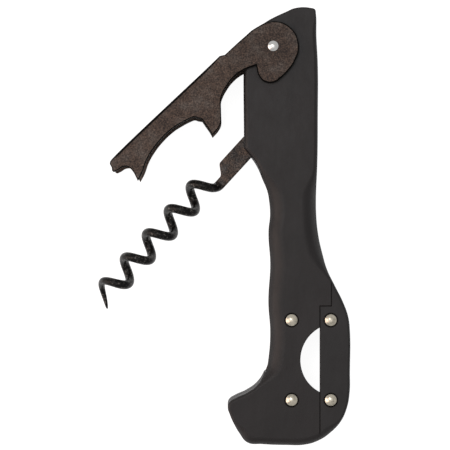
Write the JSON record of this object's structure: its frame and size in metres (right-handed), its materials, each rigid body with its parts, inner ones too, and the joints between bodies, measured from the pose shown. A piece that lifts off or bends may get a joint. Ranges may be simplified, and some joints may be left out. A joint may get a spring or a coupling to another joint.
{
  "type": "waiters corkscrew",
  "caption": "Pocket corkscrew with a folded steel lever, a swinging worm and a sprung foil cutter with cutting wheels in the end of its plastic handle.",
  "frame": {"origin": "bottom centre of the bounding box of the whole tool lying on its back, lever and worm swung out as stored", "axes": "+Y along the handle from the foil cutter to the head, +X across the handle away from the lever and worm, +Z through the thickness towards the front"},
  "size_m": [0.0696, 0.1204, 0.016],
  "materials": {
    "handle_plastic": "satin moulded charcoal",
    "jaw_plastic": "satin moulded charcoal",
    "lever_coated_steel": "rough mottled brown-black coating",
    "worm_steel": "smooth black non-stick coating",
    "rivet_nickel": "warm nickel plate",
    "pivot_steel": "bright",
    "wheel_steel": "ground",
    "guide_steel": "drawn",
    "spring_steel": "drawn wire"
  },
  "bodies": {
    "handle": {"handle_front_shell": "handle_plastic", "handle_back_shell": "handle_plastic", "lever_pivot_rivet": "pivot_steel", "worm_pivot_pin": "guide_steel", "front_friction_washer": "spring_steel", "back_friction_washer": "spring_steel", "upper_handle_wheel_rivet": "rivet_nickel", "lower_handle_wheel_rivet": "rivet_nickel", "jaw_return_spring": "spring_steel"},
    "lever": {"lever": "lever_coated_steel"},
    "worm": {"worm": "worm_steel"},
    "jaw": {"jaw_front_shell": "jaw_plastic", "jaw_back_shell": "jaw_plastic", "upper_jaw_wheel_rivet": "rivet_nickel", "lower_jaw_wheel_rivet": "rivet_nickel", "upper_guide_rod": "guide_steel", "lower_guide_rod": "guide_steel", "spring_retainer_clip": "spring_steel"},
    "upper_handle_wheel": {"upper_handle_cutting_wheel": "wheel_steel"},
    "lower_handle_wheel": {"lower_handle_cutting_wheel": "wheel_steel"},
    "upper_jaw_wheel": {"upper_jaw_cutting_wheel": "wheel_steel"},
    "lower_jaw_wheel": {"lower_jaw_cutting_wheel": "wheel_steel"}
  },
  "joints": [
    {"name": "lever_hinge", "type": "hinge", "parent": "handle", "child": "lever", "pos_m": [0.01355, 0.04936, 0.008], "axis": [0, 0, -1], "range_deg": [-18.5, 128]},
    {"name": "worm_hinge", "type": "hinge", "parent": "handle", "child": "worm", "pos_m": [0.0111, 0.02696, 0.008], "axis": [0, 0, -1], "range_deg": [-42, 25]},
    {"name": "jaw_slide", "type": "slide", "parent": "handle", "child": "jaw", "axis": [1, 0, 0], "range_m": [0, 0.0142], "stiffness_N_per_m": 150, "springref_m": -0.01, "deforming": ["jaw_return_spring"]},
    {"name": "upper_handle_wheel_spin", "type": "hinge", "parent": "handle", "child": "upper_handle_wheel", "pos_m": [0.01868, -0.02563, 0.008], "axis": [0, 0, 1], "continuous": true},
    {"name": "lower_handle_wheel_spin", "type": "hinge", "parent": "handle", "child": "lower_handle_wheel", "pos_m": [0.01868, -0.04755, 0.008], "axis": [0, 0, 1], "continuous": true},
    {"name": "upper_jaw_wheel_spin", "type": "hinge", "parent": "jaw", "child": "upper_jaw_wheel", "pos_m": [0.02942, -0.02563, 0.008], "axis": [0, 0, 1], "continuous": true},
    {"name": "lower_jaw_wheel_spin", "type": "hinge", "parent": "jaw", "child": "lower_jaw_wheel", "pos_m": [0.02942, -0.04755, 0.008], "axis": [0, 0, 1], "continuous": true}
  ]
}
